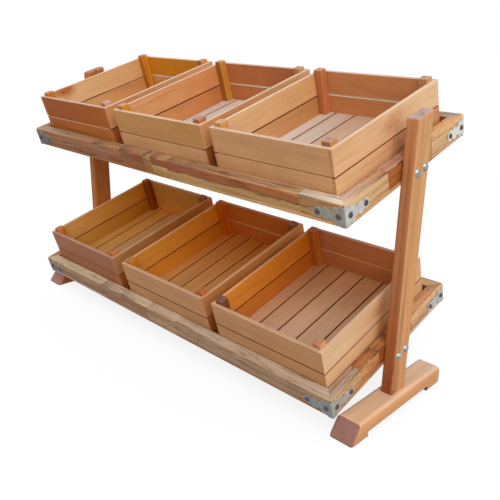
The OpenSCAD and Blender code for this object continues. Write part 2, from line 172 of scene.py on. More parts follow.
class Piece:
    """One mesh made of boards. Every board keeps its own grain coordinates and colours, and
    every edge its own radius."""

    def __init__(self, name, matrix, segments=2):
        self.name, self.matrix, self.segments = name, matrix, segments
        self.verts, self.faces, self.face_board, self.radii, self.boards = [], [], [], {}, []
        self.rng = random.Random(f"{SEED}{name}")

    def solid(self, verts, faces, axis, look, radius, mark=None, pith=None):
        """Adds a closed solid with its grain along the axis. radius is a number, or a function
        of an edge's two ends. look has its tones: main, those of sides that differ, end for end
        grain, below for a rail's lower row, and far for all of them at the other end."""
        first = len(self.verts)
        self.verts += [Vector(v) for v in verts]
        middle = sum((Vector(v) for v in verts), Vector()) / len(verts)
        rng = self.rng
        if pith is None:
            turn = rng.uniform(0, math.tau)
            reach = rng.uniform(22, 95)
            pith = (reach * math.cos(turn), reach * math.sin(turn))
        self.boards.append({"axis": axis, "look": look, "middle": middle, "mark": mark,
                            "start": rng.uniform(0, 9000), "pith": pith})
        for face in faces:
            self.faces.append([first + k for k in face])
            self.face_board.append(len(self.boards) - 1)
            for a, b in zip(face, face[1:] + face[:1]):
                ends = verts[a], verts[b]
                r = radius(*map(Vector, ends)) if callable(radius) else radius
                self.radii[frozenset((first + a, first + b))] = r

    def prism(self, outline, low, high, up, axis, look, **more):
        """A solid with that outline, between two heights along the up axis."""
        def place(p, h):
            if up == Z:
                return (p[0], p[1], h)
            return (h, p[0], p[1]) if up == X else (p[0], h, p[1])
        n = len(outline)
        verts = [place(p, low) for p in outline] + [place(p, high) for p in outline]
        faces = [[(k + 1) % n, k, k + n, (k + 1) % n + n] for k in range(n)]
        faces += [list(range(n)), list(range(2 * n - 1, n - 1, -1))]
        self.solid(verts, faces, axis, look, **more)

    def box(self, low, high, axis, look, **more):
        """A board between two corners."""
        outline = [(low[0], low[1]), (high[0], low[1]), (high[0], high[1]), (low[0], high[1])]
        self.prism(outline, low[2], high[2], Z, axis, look, **more)

    def raw_mesh(self):
        """The boards with sharp edges, each edge's radius as a share of the widest one."""
        mesh = bpy.data.meshes.new(self.name + "_raw")
        mesh.from_pydata(self.verts, [], self.faces)
        bm = bmesh.new()
        bm.from_mesh(mesh)
        bmesh.ops.recalc_face_normals(bm, faces=bm.faces)
        bm.to_mesh(mesh)
        bm.free()
        widest = max(max(self.radii.values()), 0.01)
        weight = mesh.attributes.new("bevel_weight_edge", "FLOAT", "EDGE")
        for edge in mesh.edges:
            weight.data[edge.index].value = self.radii.get(frozenset(edge.vertices), 0.0) / widest
        board = mesh.attributes.new("board", "INT", "FACE")
        board.data.foreach_set("value", self.face_board)
        return mesh, widest

    def make(self, material, body, slot, *nodes):
        """Rounds the edges, writes grain and colour on the mesh, puts it on its body, and hides the
        CAD nodes it stands for.
        """
        mesh, widest = self.raw_mesh()
        raw = placed(self.name + "_raw", mesh)
        bevel = raw.modifiers.new("edges", "BEVEL")
        bevel.limit_method = "WEIGHT"
        bevel.width, bevel.segments = widest, self.segments
        bevel.use_clamp_overlap = False
        bpy.context.view_layer.update()
        shaped = raw.evaluated_get(bpy.context.evaluated_depsgraph_get())
        done = bpy.data.meshes.new_from_object(shaped)
        done.name = self.name
        self.paint(done)
        done.transform(self.matrix)
        bpy.data.objects.remove(raw)
        bpy.data.meshes.remove(mesh)
        done.materials.append(material)
        obj = placed(self.name, done)
        obj.modifiers.new("normals", "WEIGHTED_NORMAL").weight = 100
        for poly in done.polygons:
            poly.use_smooth = True
        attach(obj, body)
        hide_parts(*nodes)
        return obj

    def paint(self, mesh):
        """Writes each board's grain coordinates, tones and mark on the mesh."""
        wanted = {"grain": ("FLOAT_VECTOR", "POINT"), "mark": ("FLOAT_VECTOR", "POINT"),
                  "blush": ("FLOAT", "POINT"), "tint": ("FLOAT_COLOR", "CORNER"),
                  "tint_below": ("FLOAT_COLOR", "CORNER")}
        for name, (kind, domain) in wanted.items():
            mesh.attributes.new(name, kind, domain)
        grain, mark, blush, tint, below = (mesh.attributes[name] for name in wanted)
        board_of = [0] * len(mesh.polygons)
        mesh.attributes["board"].data.foreach_get("value", board_of)
        for poly in mesh.polygons:
            board = self.boards[board_of[poly.index]]
            axis = board["axis"]
            across = [k for k in (X, Y, Z) if k != axis]
            near = board["look"]
            far = near.get("far", near)
            near_colour, far_colour = (face_colour(poly.normal, axis, look) for look in (near, far))
            for corner in poly.loop_indices:
                at = mesh.loops[corner].vertex_index
                p = mesh.vertices[at].co - board["middle"]
                colour = far_colour if p[axis] > 0 else near_colour
                tint.data[corner].color = (*colour, 1)
                below.data[corner].color = (*near.get("below", colour), 1)
                grain.data[at].vector = ((p[axis] + board["start"]) * MM,
                                         (p[across[0]] + board["pith"][0]) * MM,
                                         (p[across[1]] + board["pith"][1]) * MM)
                spot, strength = board["mark"] or (FAR_AWAY, 0.0)
                q = mesh.vertices[at].co - Vector(spot)
                mark.data[at].vector = (q[axis] * MM, q[across[0]] * MM, q[across[1]] * MM)
                blush.data[at].value = strength
        mesh.attributes.remove(mesh.attributes["board"])


# A face this square to an axis is a board's side, and any other is part of a rounded edge
FLAT = 0.985
# How sharply one side's tone gives way to the next round an edge
TURN_SHARPNESS = 6
# How far a rounded edge leans up or down to have that edge's own tone
LEANS = 0.3
# How far rounded edges have worn pale, where a look doesn't say
WEAR = 0.1
FAR_AWAY = (9000.0, 9000.0, 9000.0)

SIDES = (("+x", X, 1), ("-x", X, -1), ("+y", Y, 1), ("-y", Y, -1), ("+z", Z, 1), ("-z", Z, -1))


def face_colour(normal, axis, look):
    """A board's colour on a face that looks that way: its sides and its end grain, blended round a
    rounded edge, where wear shows paler wood. An edge that leans up or down takes instead the tone
    that its look gives there: painted shade and painted light in the slats' gaps, and painted shade
    in the floors' gaps and under the foot."""
    total, colour = 0.0, (0.0, 0.0, 0.0)
    for key, k, sign in SIDES:
        share = max(0.0, normal[k] * sign) ** TURN_SHARPNESS
        if share > 0:
            side = look.get(key) or (look.get("end") if k == axis else None) or look["main"]
            colour = tuple(c + share * v for c, v in zip(colour, side))
            total += share
    colour = tuple(c / total for c in colour)
    if max(abs(v) for v in normal) > FLAT:
        return colour
    key = "up" if normal[Z] > LEANS else "down" if normal[Z] < -LEANS else None
    return mix(colour, *look.get(key, (tone("light_sand"), look.get("wear", WEAR))))


# MATERIALS


class Nodes:
    """A few short words for writing the node tree of a material or a world."""

    def __init__(self, owner):
        owner.use_nodes = True
        self.owner, self.tree = owner, owner.node_tree
        self.tree.nodes.clear()

    def add(self, kind, inputs=None, **settings):
        """A node, with its inputs by name or number and its settings."""
        node = self.tree.nodes.new(kind)
        for key, value in settings.items():
            setattr(node, key, value)
        for key, value in (inputs or {}).items():
            self.feed(node.inputs[key], value)
        return node

    def feed(self, socket, value):
        """Links a socket to another one, or sets it to a value."""
        if isinstance(value, bpy.types.NodeSocket):
            self.tree.links.new(value, socket)
        else:
            socket.default_value = value

    def read(self, name, out):
        """What Piece.paint wrote on the mesh under that name."""
        return self.add("ShaderNodeAttribute", attribute_name=name).outputs[out]

    def math(self, op, a, b=0.0, clamp=False):
        node = self.add("ShaderNodeMath", {0: a, 1: b}, operation=op, use_clamp=clamp)
        return node.outputs[0]

    def times(self, a, b):
        return self.math("MULTIPLY", a, b)

    def plus(self, a, b, clamp=False):
        return self.math("ADD", a, b, clamp)

    def minus(self, a, b, clamp=False):
        return self.math("SUBTRACT", a, b, clamp)

    def vector(self, op, a, b=(0, 0, 0)):
        node = self.add("ShaderNodeVectorMath", {0: a, 1: b}, operation=op)
        return node.outputs["Value" if op == "LENGTH" else "Vector"]

    def noise(self, where, stretch, detail=2.0, rough=0.5, out="Fac"):
        """Soft noise with that many spots to a metre along each axis."""
        at = self.vector("MULTIPLY", where, stretch)
        node = self.add("ShaderNodeTexNoise",
                        {"Vector": at, "Scale": 1.0, "Detail": detail, "Roughness": rough})
        return node.outputs[out]

    def step(self, value, low, high):
        """Goes smoothly from 0 at low to 1 at high."""
        node = self.add("ShaderNodeMapRange", {"Value": value, "From Min": low, "From Max": high},
                        interpolation_type="SMOOTHSTEP")
        return node.outputs["Result"]

    def split(self, vector, axis):
        return self.add("ShaderNodeSeparateXYZ", {"Vector": vector}).outputs[axis]

    def blend(self, share, a, b, mode="MIX"):
        """Colour a with that share of colour b in it, or of the two multiplied."""
        node = self.add("ShaderNodeMix", data_type="RGBA", blend_type=mode)
        self.feed(node.inputs["Factor"], share)
        self.feed(node.inputs[6], a)
        self.feed(node.inputs[7], b)
        return node.outputs[2]

    def surface(self, colour, roughness, height, depth=0.0003, strength=0.4, **constants):
        """Ends the tree in a shader with a bump. Constants are set on the shader's sockets."""
        bump = self.add("ShaderNodeBump",
                        {"Height": height, "Strength": strength, "Distance": depth})
        shader = self.add("ShaderNodeBsdfPrincipled",
                          {"Base Color": colour, "Roughness": roughness,
                           "Normal": bump.outputs["Normal"]})
        for key, value in constants.items():
            shader.inputs[key.replace("_", " ")].default_value = value
        self.add("ShaderNodeOutputMaterial", {"Surface": shader.outputs["BSDF"]})
        return self.owner


# What a board's tone is multiplied by: in its darkest and its lightest grain, and in each mark
DARK_GRAIN = (0.50, 0.38, 0.29, 1)
LIGHT_GRAIN = (1.22, 1.25, 1.26, 1)
HEART = (0.50, 0.34, 0.26, 1)
SAP = (1.10, 1.16, 1.12, 1)
GRIME = (0.34, 0.26, 0.21, 1)
SEAM = (0.30, 0.20, 0.16, 1)
EMBER = (1.00, 0.74, 0.40, 1)
# A flame beside a knot, and its core
FLAME = ((198, 104, 26), (150, 70, 16))
# How strong the pores are in every wood
PORES = 0.10


def wood(name, ring=4.5, rings=0.20, fibres=0.16, bands=0.22, heart=0.0, sap=0.0, ember=0.0,
         mottle=0.06, grime=0.0, rows=False, spot=1.0, flame=FLAME, rough=0.48):
    """Solid wood: growth rings round a pith that lies beside each board, fibres, pores, slow
    bands, and where asked heartwood and orange streaks, sapwood patches and grime. A board of
    two rows changes colour along a wavy seam. It reads the boards' own grain coordinates, so
    the grain turns over every edge. ring is a growth ring's width in millimetres, spot how long
    a flame is, and the other numbers say how strong each thing is."""
    n = Nodes(bpy.data.materials.new(name))
    at = n.read("grain", "Vector")
    tint = n.read("tint", "Color")
    mark = n.read("mark", "Vector")
    strength = n.read("blush", "Fac")

    if rows:
        tint_below = n.read("tint_below", "Color")
        along = n.vector("MULTIPLY", mark, (1, 0, 0))
        wave = n.minus(n.noise(along, (17, 1, 1), 3.0), 0.5)
        height = n.plus(n.split(mark, "Z"), n.times(wave, 0.014))
        below = n.step(height, 0.0008, -0.0008)
        tint = n.blend(below, tint, tint_below)
        shift = n.add("ShaderNodeCombineXYZ", {"X": n.times(below, 3.3),
                                               "Y": n.times(below, 0.04)})
        at = n.vector("ADD", at, shift.outputs[0])
        shown = n.step(n.noise(along, (11, 1, 1), 1.0), 0.34, 0.56)
        seam = n.step(n.math("ABSOLUTE", height), 0.0018, 0.0003)
        seam = n.times(seam, n.times(shown, 0.85))
        seam = n.times(seam, strength)

    wobble = n.vector("SUBTRACT", n.noise(at, (2.6, 15, 15), 2.0, out="Color"), (0.5, 0.5, 0.5))
    bent = n.vector("ADD", at, n.vector("MULTIPLY", wobble, (0, 0.020, 0.020)))
    reach = n.vector("LENGTH", n.vector("MULTIPLY", bent, (0, 1, 1)))
    if not rows:
        near = n.vector("LENGTH", n.vector("MULTIPLY", mark, (1 / spot, 1.7, 1.7)))
        ragged = n.noise(mark, (40, 110, 110), 3.0)
        near = n.plus(near, n.times(n.minus(ragged, 0.5), 0.030))
        glow = n.step(near, 0.046, 0.010)
        curl = n.step(n.noise(mark, (90, 60, 260), 2.0), 0.42, 0.62)
        core = n.times(n.step(near, 0.034, 0.010), curl)
        glow = n.times(glow, strength)
        core = n.times(core, strength)
        reach = n.plus(reach, n.times(glow, 0.016))
    phase = n.math("FRACT", n.math("DIVIDE", reach, ring * MM))
    late = n.times(n.step(phase, 0.30, 0.92), n.step(phase, 1.0, 0.94))
    late = n.times(late, n.step(n.noise(at, (3, 40, 40), 1.0), 0.25, 0.75))

    fibre = n.noise(at, (9, 330, 330), 3.0, 0.6)
    band = n.noise(at, (1.6, 34, 34), 2.0)
    cloud = n.noise(at, (16, 24, 24), 2.0)
    pore = n.step(n.noise(at, (38, 900, 900), 1.0), 0.60, 0.72)

    def about(value, share):
        """Noise as a change up or down by at most that share."""
        return n.times(n.minus(value, 0.5), 2 * share)

    level = n.plus(about(fibre, fibres), 0.66)
    level = n.plus(level, about(band, bands))
    level = n.plus(level, about(cloud, mottle))
    level = n.minus(level, n.times(late, rings))
    level = n.minus(level, n.times(pore, PORES), clamp=True)
    dark = n.blend(1.0, tint, DARK_GRAIN, "MULTIPLY")
    light = n.blend(1.0, tint, LIGHT_GRAIN, "MULTIPLY")
    colour = n.blend(level, dark, light)

    def darken(colour, share, by):
        """The colour, and where share is 1 the colour times by."""
        return n.blend(share, colour, n.blend(1.0, colour, by, "MULTIPLY"))

    if heart:
        vein = n.step(n.noise(bent, (1.3, 70, 70), 3.0, 0.6), 0.55, 0.66)
        colour = darken(colour, n.times(vein, heart), HEART)
    if ember:
        streak = n.step(n.noise(n.vector("ADD", bent, (4, 8, 2)), (1.5, 60, 60), 3.0), 0.48, 0.62)
        colour = darken(colour, n.times(streak, ember), EMBER)
    if sap:
        patch = n.step(n.noise(n.vector("ADD", at, (7, 3, 5)), (2.2, 30, 30), 2.0), 0.54, 0.68)
        colour = darken(colour, n.times(patch, sap), SAP)
    if grime:
        streak = n.step(n.noise(bent, (13, 190, 190), 4.0, 0.7), 0.50, 0.64)
        lane = n.step(n.noise(bent, (2.4, 90, 90), 2.0), 0.32, 0.56)
        speck = n.step(n.noise(at, (150, 330, 330), 1.0), 0.61, 0.72)
        speck = n.times(speck, n.step(n.noise(at, (9, 30, 30), 1.0), 0.44, 0.60))
        dirt = n.plus(n.times(streak, lane), speck, clamp=True)
        colour = darken(colour, n.times(dirt, grime), GRIME)
    if rows:
        colour = darken(colour, seam, SEAM)
    else:
        outer, inner = ((*linear(rgb), 1) for rgb in flame)
        colour = n.blend(n.times(glow, 0.75), colour, outer)
        colour = n.blend(n.times(core, 0.7), colour, inner)
    height = n.minus(n.times(fibre, 0.6), n.times(pore, 0.5))
    roughness = n.plus(n.times(fibre, 0.16), rough - 0.08)
    return n.surface(colour, roughness, height, Specular_IOR_Level=0.1)


def galvanised():
    """Zinc-coated sheet that has dulled: cells of crystals, soft stains and small scratches. The
    legs along the front are dark, most of all on the left, and the others pale: painted shade and a
    painted dark reflection on the front legs, and painted light on the others, less on the lower
    tray and more towards the back."""
    n = Nodes(bpy.data.materials.new("galvanised"))
    place = n.add("ShaderNodeTexCoord")
    at, facing = place.outputs["Object"], place.outputs["Normal"]
    cells = n.add("ShaderNodeTexVoronoi", {"Vector": at, "Scale": 190.0}).outputs["Color"]
    cell = n.add("ShaderNodeSeparateColor", {"Color": cells}).outputs["Red"]
    stain = n.noise(at, (70, 70, 70), 4.0, 0.6)
    scratch = n.step(n.noise(at, (420, 60, 900), 2.0), 0.62, 0.70)
    # Painted light and shade by place and facing: the front legs dark, darkest on the left, and the
    # others pale, paler above and towards the back
    left = n.step(n.split(at, "X"), 0.1, -0.1)
    above = n.step(n.split(at, "Z"), 0.25, 0.35)
    behind = n.step(n.split(at, "Y"), -0.1, 0.1)
    front = n.blend(above, (0.20, 0.235, 0.25, 1), (0.28, 0.265, 0.225, 1))
    front = n.blend(left, front, (0.095, 0.096, 0.085, 1))
    side = n.blend(behind, (0.54, 0.54, 0.50, 1), (0.70, 0.70, 0.64, 1))
    side = n.blend(above, n.blend(behind, (0.40, 0.38, 0.35, 1), (0.46, 0.46, 0.44, 1)), side)
    base = n.blend(n.step(n.split(facing, "Y"), -0.35, -0.85), side, front)
    level = n.plus(n.times(cell, 0.3), n.times(stain, 0.7), clamp=True)
    colour = n.blend(level, n.blend(1.0, base, (0.62, 0.62, 0.62, 1), "MULTIPLY"),
                     n.blend(1.0, base, (1.38, 1.38, 1.38, 1), "MULTIPLY"))
    colour = n.blend(n.times(scratch, 0.25), colour, (0.60, 0.60, 0.58, 1))
    roughness = n.plus(n.times(stain, 0.25), 0.36)
    return n.surface(colour, roughness, n.noise(at, (160, 160, 160), 3.0), depth=0.0006,
                     strength=0.5, Metallic=0.35, Specular_IOR_Level=0.3)


def zinc():
    """Bright zinc plating, dulled in patches, and darker on its lower side: painted shade."""
    n = Nodes(bpy.data.materials.new("zinc"))
    place = n.add("ShaderNodeTexCoord")
    at = place.outputs["Object"]
    cloud = n.noise(at, (300, 300, 300), 3.0, 0.7)
    # Painted shade: darker where the surface faces down
    up = n.step(n.split(place.outputs["Normal"], "Z"), -0.5, 0.6)
    level = n.plus(n.times(up, 0.6), 0.4)
    level = n.times(n.step(cloud, 0.3, 0.7), level)
    colour = n.blend(level, (0.12, 0.14, 0.155, 1), (0.58, 0.63, 0.66, 1))
    roughness = n.plus(n.times(cloud, 0.22), 0.20)
    return n.surface(colour, roughness, n.noise(at, (600, 600, 600), 2.0), depth=0.0002,
                     strength=0.35, Metallic=0.75)


def dark_screw():
    """Browned steel: nearly black purple-brown, rubbed lighter in spots."""
    n = Nodes(bpy.data.materials.new("dark_screw"))
    at = n.add("ShaderNodeTexCoord").outputs["Object"]
    rust = n.noise(at, (420, 420, 420), 3.0, 0.6)
    colour = n.blend(rust, (0.020, 0.010, 0.012, 1), (0.17, 0.10, 0.095, 1))
    roughness = n.plus(n.times(rust, 0.3), 0.26)
    return n.surface(colour, roughness, rust, depth=0.0003, strength=0.4, Specular_IOR_Level=0.22)


def dowel_wood():
    """Plain pale dowel wood for a kept CAD node, with its grain along Z."""
    n = Nodes(bpy.data.materials.new("dowel_wood"))
    at = n.add("ShaderNodeTexCoord").outputs["Object"]
    fibre = n.noise(at, (700, 700, 20), 3.0, 0.6)
    band = n.noise(at, (120, 120, 4), 2.0)
    level = n.plus(n.times(fibre, 0.5), n.times(band, 0.5), clamp=True)
    colour = n.blend(level, (*tone("tan", 0.6), 1), (*tone("cream"), 1))
    return n.surface(colour, n.plus(n.times(fibre, 0.2), 0.45), fibre)


WOODS = {
    "post_wood": dict(ring=6.5, rings=0.24, fibres=0.28, bands=0.30, heart=0.5, ember=0.55,
                      grime=0.1, spot=2.4, flame=((130, 60, 36), (104, 44, 30)), rough=0.40),
    "foot_wood": dict(ring=6.0, rings=0.10, heart=0.1, rough=0.44),
    "rail_wood": dict(ring=5.0, rings=0.16, fibres=0.34, bands=0.34, heart=0.35, sap=0.3,
                      grime=0.75, rows=True),
    "base_wood": dict(ring=5.0, rings=0.18, fibres=0.24, bands=0.26, heart=0.2, grime=0.5),
    "slat_wood": dict(rings=0.14, fibres=0.2, bands=0.17, mottle=0.12),
    "inner_slat_wood": dict(rings=0.14, bands=0.17, mottle=0.12),
    "corner_post_wood": dict(ring=5.0, rings=0.34, bands=0.55, heart=0.6, ember=0.3),
    "floor_wood": dict(ring=4.0, rings=0.10, fibres=0.14, bands=0.20),
    "runner_wood": dict(ring=5.0),
}
MATERIALS = {name: wood(name, **how) for name, how in WOODS.items()}
MATERIALS.update(dowel_wood=dowel_wood(), galvanised=galvanised(), dark_screw=dark_screw(),
                 zinc=zinc())

# CRATES

# Each crate's walls: the tones of the upper and the lower slat, and the kind of gap between
# them. Then its floor, and its corner posts: front left, back left, front right and back right
# The left and middle crates' right walls are dark below: painted shade in the narrow gap beside the
# next crate
CRATES = {
    "upper_left": {"front": ("rust", "russet", "light_sand"), "left": ("sand", "wheat", "dusty"),
                   "right": ("wheat", "brick", "dusty"), "back": ("amber", "wheat", "pale"),
                   "floor": ("stone", "tan"), "posts": ("amber", "amber", "rose", "ginger")},
    "upper_middle": {"front": ("buff", "tan", "faint"), "left": ("peach", "coral", "dusty"),
                     "right": ("wheat", "brick", "dusty"), "back": ("sienna", "copper", "pale"),
                     "floor": ("ash", "wheat"), "posts": ("orange", "ochre", "copper", "tan")},
    "upper_right": {"front": ("tan", "tan", "faint"), "left": ("pale", "tan", "dusty"),
                    "right": ("sand", "almond", "soft"), "back": ("coral", "coral", "pale"),
                    "floor": ("ash", "tan"), "posts": ("honey", "sienna", "buff", "tan")},
    # The lower crates' tones are more orange than their wood: painted light, the orange light that
    # bounces between their walls in the upper tray's shade
    "lower_left": {"front": ("cocoa", "cocoa", "faint"), "left": ("ginger", "ochre", "dusty"),
                   "right": ("chestnut", "brick", "dusty"), "back": ("ginger", "saffron", "faint"),
                   "floor": ("saffron", "wheat"), "posts": ("ember", "rust", "ember", "russet")},
    "lower_middle": {"front": ("taupe", "taupe", "thin"), "left": ("orange", "orange", "dusty"),
                     "right": ("copper", "brick", "dusty"), "back": ("ember", "ember", "fine"),
                     "floor": ("orange", "ginger"), "posts": ("amber", "fire", "ember", "russet")},
    "lower_right": {"front": ("taupe", "taupe", "thin"), "left": ("flame", "ember", "thin"),
                    "right": ("almond", "almond", "soft"), "back": ("copper", "copper", "fine"),
                    "floor": ("clay", "coral"), "posts": ("plum", "ember", "peach", "sienna")},
}
# How a wall's tone changes along it, from the front or left end to the other, by row: of each tier,
# and of a crate that differs. These changes are painted light and shade, following how the light
# falls along each wall
EVEN = ((1, 1, 1), (1, 1, 1))
FADES = {
    ("upper", "left", 1): ((1.06, 1.12, 1.20), (0.88, 0.76, 0.62)),
    ("upper", "left", 0): ((1.22, 1.40, 1.55), (0.84, 0.68, 0.48)),
    ("lower", "left", 1): ((1.00, 1.20, 1.70), (0.97, 0.85, 0.35)),
    ("lower", "left", 0): ((1.00, 1.20, 1.70), (0.97, 0.85, 0.35)),
    ("upper", "right", 1): ((0.96, 0.88, 0.85), (1.03, 1.10, 1.25)),
    ("upper", "right", 0): ((1.06, 1.18, 1.28), (0.85, 0.70, 0.62)),
    ("lower", "right", 1): ((1.00, 1.22, 1.50), (0.95, 1.00, 1.05)),
    ("lower", "right", 0): ((0.98, 1.10, 1.20), (0.92, 0.95, 1.00)),
    ("lower_left", "left", 1): ((0.95, 1.13, 1.80), (1.08, 0.90, 0.30)),
    ("lower_middle", "left", 1): ((0.88, 1.00, 1.50), (1.18, 1.08, 0.42)),
    ("lower_middle", "left", 0): ((1.00, 1.06, 1.25), (0.97, 0.78, 0.27)),
    ("lower_left", "right", 1): ((0.90, 1.30, 1.70), (1.35, 1.25, 0.45)),
    ("lower_middle", "right", 1): ((0.80, 0.92, 0.85), (1.40, 1.65, 1.20)),
    ("upper_left", "front", 1): ((0.90, 0.82, 0.50), (1.10, 1.22, 1.15)),
    ("upper_left", "front", 0): ((0.90, 0.82, 0.50), (1.10, 1.22, 1.15)),
}
# How a floor's tone changes from its front to its back: painted light and shade along the floor
FLOOR_FADES = {
    "upper_left": ((0.80, 0.70, 0.65), (1.03, 1.08, 1.15)),
    "upper_middle": ((0.88, 1.20, 1.40), (1.00, 0.98, 1.08)),
    "upper_right": ((1.15, 1.35, 1.55), (0.90, 0.90, 0.90)),
    "lower_left": ((0.62, 0.85, 1.70), (1.08, 1.15, 1.20)),
    "lower_middle": ((0.85, 1.20, 3.20), (1.03, 0.95, 1.00)),
    "lower_right": ((1.12, 1.50, 2.10), (0.95, 0.90, 0.75)),
}
# Kinds of gap: the tone inside it, how far its rounded edges take that tone, and their radius. That
# tone is painted: painted shade in the dark gaps, and painted light in the pale ones, for light
# that shows through the gap
GAPS = {"dusty": ("brick", 0.6, 0.9), "thin": ("deep_shade", 0.4, 0.5), "faint": (None, 0.0, 0.5),
        "soft": ("brick", 0.5, 0.7), "pale": ("chalk", 0.9, 1.1), "fine": ("sand", 0.5, 0.7),
        "light_sand": ("sand", 0.5, 0.8)}
SLAT_LEVELS = (RUNNER_H, RUNNER_H + SLAT_W + SLAT_GAP)
FLOOR_Z = RUNNER_H + FLOOR_T
RIM_Z = RUNNER_H + 2 * SLAT_W + SLAT_GAP
SLAT_EDGE_R, CORNER_POST_EDGE_R, FLOOR_EDGE_R, RUNNER_EDGE_R = 0.9, 1.6, 0.9, 1.2


def slat(piece, low, high, axis, wall, ends, row, rim, mark=None, fade=EVEN):
    """A slat of that wall, with ends as another wall's. The top of the upper one is the crate's
    rim, pale with wear and with painted light from above. The edges that face each other in the gap
    take the gap's own tone, which is painted shade in a dark gap and painted light in a pale one."""
    # The tone inside the gap is painted: shade in a dark gap, light in a pale one
    inside, share, gap_radius = GAPS[wall[2]]
    looks = []
    # Each end of the slat gets its tone times the fade: painted light and shade along the wall
    for by in fade:
        main = scaled(tone(wall[1 - row]), by)
        within = tone(inside) if inside else main
        look = {"main": main, "end": mix(tone(ends[1 - row]), tone("sienna"), 0.3), "wear": 0.15}
        if row:
            # The top of the upper slat is the rim, paled with wear and painted light from above,
            # and its gap side takes the gap's painted tone
            look.update({"+z": mix(main, tone("blush"), rim), "-z": within,
                         "down": (within, share)})
        else:
            look.update({"+z": within, "up": (within, share)})
        looks.append(look)
    look = {**looks[0], "far": looks[1]}
    z_gap = low[Z] if row else high[Z]

    def radius(a, b):
        in_gap = abs(a.z - z_gap) < 0.1 and abs(b.z - z_gap) < 0.1
        return gap_radius if in_gap else SLAT_EDGE_R

    piece.box(low, high, axis, look, radius=radius, mark=mark)


# Where the figure of a crate's slat shows as an orange flame, and how strong it is
MARKS = {("upper_left", "left", 1): ((SLAT_T, 63.5, 111.0), 1.0),
         ("upper_right", "right", 1): ((CRATE_W, 171.5, 91.0), 0.35),
         ("lower_right", "right", 1): ((CRATE_W, 180.5, 91.0), 0.45),
         ("lower_right", "right", 0): ((CRATE_W, 175.5, 44.0), 0.30)}
# How far the rims and the ends of the corner posts are pale, on each tray: partly wear, and partly
# painted light from above, less on the lower tray, which lies in the upper tray's shade
RIM_WEAR_AND_LIGHT = {"upper": 0.65, "lower": 0.25}
POST_END_WEAR_AND_LIGHT = {"upper": 0.60, "lower": 0.25}
# How light the posts' ends are: darker on the lower tray, with painted shade
END_PAINTED_SHADE = {"upper": 1.0, "lower": 0.78}


def make_crate(tier, place):
    """A crate's six pieces, in its own millimetres from its front left corner."""
    crate = f"{tier}_{PLACES[place]}"
    body = crate + "_crate"
    tones = CRATES[crate]
    rim = RIM_WEAR_AND_LIGHT[tier]
    corner = Vector((RAIL_T - TRAY_W / 2 + place * CRATE_W + SHARES[tier][place] * TRAY_PLAY,
                     RAIL_T + CRATE_GAP, BASE_T))
    matrix = tray_matrix(tier)

    def piece(part, slot):
        made = Piece(f"{body}_{part}_wood", matrix)
        return made, lambda: made.make(MATERIALS[slot], body, slot, f"{body}_{part}")

    def at(x, y, z):
        return (corner.x + x, corner.y + y, corner.z + z)

    front, done = piece("front_slats", "slat_wood")
    for k, z in enumerate(SLAT_LEVELS):
        slat(front, at(SLAT_T, 0, z), at(CRATE_W - SLAT_T, SLAT_T, z + SLAT_W), X,
             tones["front"], tones["front"], k, rim, fade=FADES.get((crate, "front", k), EVEN))
    done()
    back, done = piece("back_slats", "inner_slat_wood")
    for k, z in enumerate(SLAT_LEVELS):
        slat(back, at(SLAT_T, CRATE_D - SLAT_T, z), at(CRATE_W - SLAT_T, CRATE_D, z + SLAT_W), X,
             tones["back"], tones["back"], k, rim)
    done()
    sides, done = piece("side_slats", "slat_wood")
    for side, x in (("left", 0), ("right", CRATE_W - SLAT_T)):
        for k, z in enumerate(SLAT_LEVELS):
            spot, strength = MARKS.get((crate, side, k), (None, 0.0))
            slat(sides, at(x, 0, z), at(x + SLAT_T, CRATE_D, z + SLAT_W), Y,
                 tones[side], tones["front"], k, rim,
                 mark=(at(*spot), strength) if spot else None,
                 fade=FADES.get((crate, side, k), FADES[tier, side, k]))
    done()
    posts, done = piece("corner_posts", "corner_post_wood")
    far = SLAT_T + CORNER_POST_T
    for k, (x, y) in enumerate((x, y) for x in (SLAT_T, CRATE_W - far)
                               for y in (SLAT_T, CRATE_D - far)):
        main = tone(tones["posts"][k])
        # Its end: paled with wear and painted light, and on the lower tray darkened with painted
        # shade
        end = mix(tone(tones["posts"][k], END_PAINTED_SHADE[tier]), tone("mauve", END_PAINTED_SHADE[tier]),
                  POST_END_WEAR_AND_LIGHT[tier])
        # Its front face is darkened with umber, most on the front posts: painted shade
        look = {"main": main, "-y": mix(main, tone("umber"), 0.4 if y == SLAT_T else 0.1),
                "end": end}
        posts.box(at(x, y, FLOOR_Z), at(x + CORNER_POST_T, y + CORNER_POST_T,
                                        RIM_Z + CORNER_POST_RISE), Z, look,
                  radius=CORNER_POST_EDGE_R)
    done()
    floor, done = piece("floor_boards", "floor_wood")
    edge = (CRATE_W - 2 * SLAT_T - FULL_BOARDS * (FLOOR_BOARD_W + FLOOR_GAP) - FLOOR_GAP) / 2
    x = SLAT_T
    for width in (edge, *[FLOOR_BOARD_W] * FULL_BOARDS, edge):
        shade = floor.rng.uniform(0.94, 1.06)
        share = floor.rng.random()
        one, other = (tone(name, shade) for name in tones["floor"])
        main = mix(one, other, 0.6 * share * share)
        near_front, near_back = (scaled(main, by) for by in FLOOR_FADES[crate])
        # The boards' sides and top edges are painted dark: painted shade in the gaps between the
        # boards
        look = {"main": near_front, "+x": tone("brick"), "-x": tone("brick"),
                "up": (tone("deep_shade"), 0.75)}
        look["far"] = {**look, "main": near_back}
        floor.box(at(x, SLAT_T, RUNNER_H), at(x + width, CRATE_D - SLAT_T, FLOOR_Z), Y, look,
                  radius=FLOOR_EDGE_R)
        x += width + FLOOR_GAP
    done()
    runners, done = piece("runners", "runner_wood")
    for y in (0, CRATE_D - RUNNER_W):
        runners.box(at(0, y, 0), at(CRATE_W, y + RUNNER_W, RUNNER_H), X,
                    {"main": tone("tan"), "wear": 0.2}, radius=RUNNER_EDGE_R)
    done()


for tier in SHARES:
    for place in range(3):
        make_crate(tier, place)

# TRAYS

